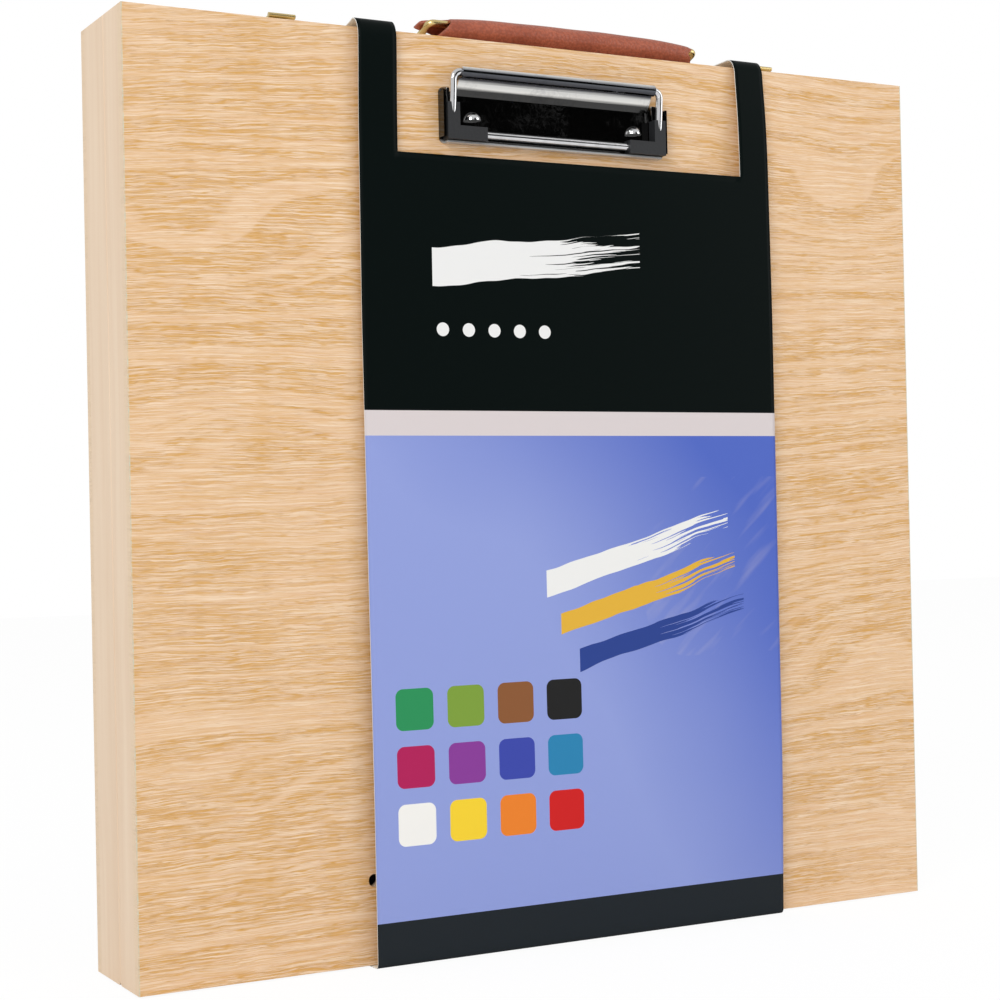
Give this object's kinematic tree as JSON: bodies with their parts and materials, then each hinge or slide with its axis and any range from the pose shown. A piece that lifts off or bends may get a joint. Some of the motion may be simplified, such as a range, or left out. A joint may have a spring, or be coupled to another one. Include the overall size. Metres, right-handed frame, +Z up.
{
  "type": "wooden acrylic paint box",
  "caption": "Flat square wooden paint box that opens as a desk easel, with board clip, carrying handle, latches, prop, fitted tray of art tools and a card sleeve.",
  "frame": {"origin": "middle of the case's width and depth, on the underside of the card sleeve where the standing case rests", "axes": "+X to the right seen from the front, +Y to the back through the thin depth, +Z up along the case's height towards the handle"},
  "size_m": [0.35, 0.0565, 0.3632],
  "materials": {
    "board_face": "wood-grain veneer, satin",
    "side_wood": "plain pale pine, satin",
    "inner_wood": "plain pale pine, bare",
    "card": "printed card, gloss",
    "tray": "vacuum-formed, matt",
    "plated_steel": "bright plated",
    "gilt": "bright brass plated",
    "hinge_metal": "brass plated",
    "black_rubber": "matt",
    "hide": "smooth grained imitation leather",
    "tube_metal": "white enamel with colour bands",
    "white_plastic": "smooth",
    "blue_paint": "gloss paint on wood",
    "bristle": "synthetic hair",
    "pencil_paint": "gloss black paint",
    "sharp_metal": "machined",
    "eraser_white": "smooth",
    "screw_metal": "zinc plated"
  },
  "bodies": {
    "base": {"base_back_panel": "board_face", "base_left_side": "side_wood", "base_right_side": "side_wood", "base_top_rail": "side_wood", "base_bottom_rail": "side_wood", "insert_tray": "tray", "left_rack": "inner_wood", "right_rack": "inner_wood", "hinge_base_leaves": "hinge_metal", "hinge_pins": "hinge_metal", "hinge_base_screws": "hinge_metal", "latch_base_plates": "gilt", "latch_pins": "gilt", "latch_base_screws": "gilt", "handle_brackets": "gilt", "handle_bracket_screws": "gilt", "sleeve_back": "card", "paint_tubes": "tube_metal", "tube_caps": "white_plastic", "mixing_palette": "white_plastic", "brush_handles": "blue_paint", "brush_ferrules": "gilt", "brush_tufts": "bristle", "pencil": "pencil_paint", "palette_knives": "white_plastic", "sharpener": "sharp_metal", "eraser": "eraser_white", "pencil_ledge": "inner_wood", "ledge_bolts": "screw_metal", "ledge_washers": "screw_metal", "ledge_wing_nuts": "screw_metal"},
    "lid": {"lid_panel": "board_face", "lid_left_side": "side_wood", "lid_right_side": "side_wood", "lid_top_rail": "side_wood", "lid_bottom_rail": "side_wood", "hinge_lid_leaves": "hinge_metal", "hinge_lid_screws": "hinge_metal", "latch_catches": "gilt", "latch_catch_screws": "gilt", "clip_base_plate": "plated_steel", "clip_rivets": "plated_steel", "prop_pivot_screws": "screw_metal", "sleeve_front": "card"},
    "prop": {"prop_left_arm": "inner_wood", "prop_right_arm": "inner_wood", "prop_foot_bar": "inner_wood"},
    "clip_jaw_body": {"clip_jaw": "plated_steel", "clip_corner_pads": "black_rubber"},
    "left_latch": {"left_latch_hasp": "gilt"},
    "right_latch": {"right_latch_hasp": "gilt"},
    "handle": {"handle_bail": "gilt", "handle_grip": "hide"}
  },
  "joints": [
    {"name": "lid_hinge", "type": "hinge", "parent": "base", "child": "lid", "pos_m": [0, -0.003, 0.0017], "axis": [1, 0, 0], "range_deg": [0, 70]},
    {"name": "prop_pivot", "type": "hinge", "parent": "lid", "child": "prop", "pos_m": [0, -0.012, 0.1517], "axis": [-1, 0, 0], "range_deg": [0, 140]},
    {"name": "clip_pivot", "type": "hinge", "parent": "lid", "child": "clip_jaw_body", "pos_m": [0, -0.0296, 0.3362], "axis": [-1, 0, 0], "range_deg": [0, 100], "stiffness_Nm_per_rad": 0.02, "springref_deg": -28.65},
    {"name": "left_latch_pivot", "type": "hinge", "parent": "base", "child": "left_latch", "pos_m": [-0.1093, 0.0005, 0.3532], "axis": [-1, 0, 0], "range_deg": [-5, 150]},
    {"name": "right_latch_pivot", "type": "hinge", "parent": "base", "child": "right_latch", "pos_m": [0.1093, 0.0005, 0.3532], "axis": [-1, 0, 0], "range_deg": [-5, 150]},
    {"name": "handle_pivot", "type": "hinge", "parent": "base", "child": "handle", "pos_m": [0.0175, 0.011, 0.3539], "axis": [-1, 0, 0], "range_deg": [0, 138]}
  ],
  "couplings": [
    {"joint": "prop_pivot", "follows": "lid_hinge", "ratio": 2}
  ]
}
